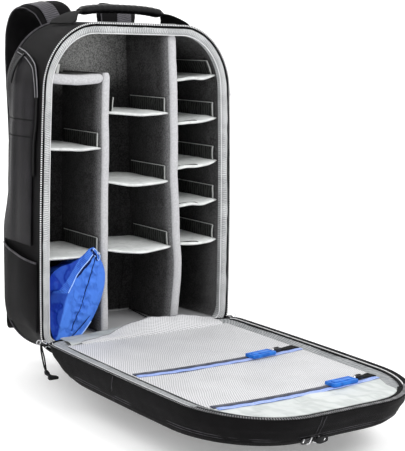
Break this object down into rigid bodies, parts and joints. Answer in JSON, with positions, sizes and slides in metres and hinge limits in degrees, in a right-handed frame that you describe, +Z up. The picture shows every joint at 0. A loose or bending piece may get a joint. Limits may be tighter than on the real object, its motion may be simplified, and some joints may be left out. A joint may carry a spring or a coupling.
{
  "type": "camera backpack",
  "caption": "Black camera backpack standing on its base with the front panel unzipped and laid flat, showing padded compartments with grey shelves and a blue pouch.",
  "frame": {"origin": "middle of the flat base that the bag stands on", "axes": "+X to the right as one looks into the open bag, +Y into the bag towards the wearer's back, +Z up"},
  "size_m": [0.3871, 0.7433, 0.5587],
  "materials": {
    "black_nylon": "plain-woven nylon, matt black",
    "satin_nylon": "satin dark grey nylon over foam",
    "black_webbing": "woven black webbing and cord",
    "grey_webbing": "ribbed satin grey webbing",
    "grey_lining": "padded mid grey lining",
    "divider_lining": "brushed charcoal knit over foam",
    "shelf_nylon": "light grey satin nylon",
    "mesh_net": "light grey fine net",
    "blue_nylon": "bright blue ripstop nylon",
    "blue_trim": "light blue woven trim",
    "navy_tape": "dark zip tape with a fine coil",
    "blue_rubber": "soft moulded blue rubber",
    "zip_coil": "black zip coil on black tape",
    "white_piping": "off-white piping cord",
    "black_metal": "black lacquered zip slider",
    "black_rubber": "matt black rubber pull"
  },
  "bodies": {
    "root": {"body_shell": "black_nylon", "body_liner": "grey_lining", "body_zip": "zip_coil", "back_pad": "black_nylon", "handle_grip": "satin_nylon", "panel_shell": "black_nylon", "panel_liner": "grey_lining", "panel_zip": "zip_coil", "panel_piping": "white_piping", "hinge_band": "black_nylon", "hinge_gusset": "shelf_nylon", "mesh_pocket_1": "mesh_net", "mesh_pocket_2": "mesh_net", "end_panel": "shelf_nylon", "divider_left": "divider_lining", "divider_right": "divider_lining", "top_shelf": "divider_lining", "rain_cover": "blue_nylon", "corner_slider_left": "black_metal", "corner_slider_right": "black_metal", "corner_cord_left": "black_webbing", "corner_tab_left": "black_rubber", "front_slider": "black_metal", "front_tab": "black_rubber", "side_pull_left": "black_rubber", "side_pocket_left": "black_nylon", "boot_pocket_left": "black_nylon", "side_zip_left": "zip_coil", "handle_foot_left": "black_webbing", "shoulder_strap_left": "black_nylon", "strap_webbing_left": "grey_webbing", "lower_webbing_left": "black_webbing", "side_pocket_right": "black_nylon", "boot_pocket_right": "black_nylon", "side_zip_right": "zip_coil", "handle_foot_right": "black_webbing", "shoulder_strap_right": "black_nylon", "strap_webbing_right": "grey_webbing", "lower_webbing_right": "black_webbing", "pocket_zip_1": "navy_tape", "pocket_trim_1": "blue_trim", "pocket_slider_1": "black_metal", "pocket_pull_1": "blue_rubber", "pocket_zip_2": "navy_tape", "pocket_trim_2": "blue_trim", "pocket_slider_2": "black_metal", "pocket_pull_2": "blue_rubber", "shelf_middle_1": "shelf_nylon", "shelf_middle_2": "shelf_nylon", "shelf_middle_3": "shelf_nylon", "shelf_left_1": "shelf_nylon", "shelf_left_2": "shelf_nylon", "shelf_right_1": "shelf_nylon", "shelf_right_2": "shelf_nylon", "shelf_right_3": "shelf_nylon", "shelf_right_4": "shelf_nylon", "shelf_right_5": "shelf_nylon"}
  },
  "joints": []
}
